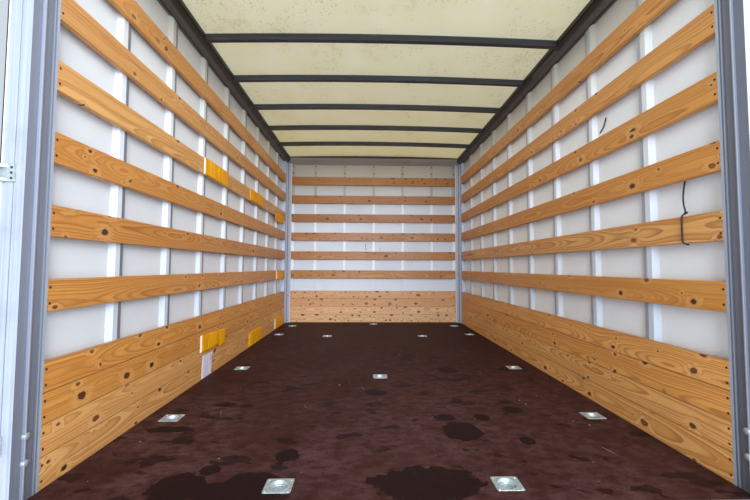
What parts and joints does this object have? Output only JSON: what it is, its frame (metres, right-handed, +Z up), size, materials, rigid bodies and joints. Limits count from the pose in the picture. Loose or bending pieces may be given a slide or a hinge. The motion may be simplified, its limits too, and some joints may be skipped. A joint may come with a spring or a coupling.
{
  "type": "truck box body",
  "caption": "Cargo box of a box truck with wood-battened walls, translucent roof, lashing cups in the floor and two rear doors folded back along its sides.",
  "frame": {"origin": "middle of the footprint, at the underside of the long bearers", "axes": "+X to the right, +Y forward to the cab end, +Z up"},
  "size_m": [2.698, 3.927, 2.4718],
  "materials": {
    "panel_white": "smooth white coated panel",
    "profile_grey": "matt mill aluminium",
    "rail_dark": "dark satin paint",
    "underframe_steel": "grey chassis paint",
    "roof_translucent": "translucent glass-fibre sheet",
    "pine": "varnished pine",
    "floor_ply": "dark film-faced plywood",
    "galvanised": "galvanised",
    "seal_rubber": "matt black",
    "lamp_amber": "clear amber lens",
    "pad_yellow": "yellow soft pad"
  },
  "bodies": {
    "body": {"side_wall_left": "panel_white", "side_wall_right": "panel_white", "bulkhead": "panel_white", "side_pilasters_left": "panel_white", "side_pilasters_right": "panel_white", "bulkhead_pilasters": "panel_white", "side_rail_left": "profile_grey", "side_rail_right": "profile_grey", "front_bottom_rail": "profile_grey", "corner_post_left": "profile_grey", "corner_post_right": "profile_grey", "front_header": "profile_grey", "joint_strips_left": "profile_grey", "joint_strips_right": "profile_grey", "rear_post_left": "profile_grey", "rear_post_right": "profile_grey", "rear_header": "profile_grey", "rear_sill": "profile_grey", "cant_rail_left": "rail_dark", "cant_rail_right": "rail_dark", "roof_bows": "rail_dark", "chassis_bearer_left": "underframe_steel", "chassis_bearer_right": "underframe_steel", "cross_members": "underframe_steel", "mounting_plates": "underframe_steel", "roof_skin": "roof_translucent", "side_battens_left": "pine", "side_battens_right": "pine", "bulkhead_battens": "pine", "side_kickboard_left": "pine", "side_kickboard_right": "pine", "bulkhead_kickboard": "pine", "floor_deck": "floor_ply", "lashing_cups": "galvanised", "lashing_rings": "galvanised", "cam_keepers": "galvanised", "hinge_brackets_left": "galvanised", "hinge_brackets_right": "galvanised", "marker_lamps": "lamp_amber", "wall_pads": "pad_yellow"},
    "left_door": {"door_left": "panel_white", "door_seal_left": "seal_rubber", "lock_bar_left": "galvanised", "lock_guides_left": "galvanised", "hinge_straps_left": "galvanised"},
    "right_door": {"door_right": "panel_white", "door_seal_right": "seal_rubber", "lock_bar_right": "galvanised", "lock_guides_right": "galvanised", "hinge_straps_right": "galvanised"}
  },
  "joints": [
    {"name": "left_door_hinge", "type": "hinge", "parent": "body", "child": "left_door", "pos_m": [-1.29, -1.9515, 1.258], "axis": [0, 0, 1], "range_deg": [0, 270]},
    {"name": "right_door_hinge", "type": "hinge", "parent": "body", "child": "right_door", "pos_m": [1.29, -1.9515, 1.258], "axis": [0, 0, -1], "range_deg": [0, 270]}
  ]
}
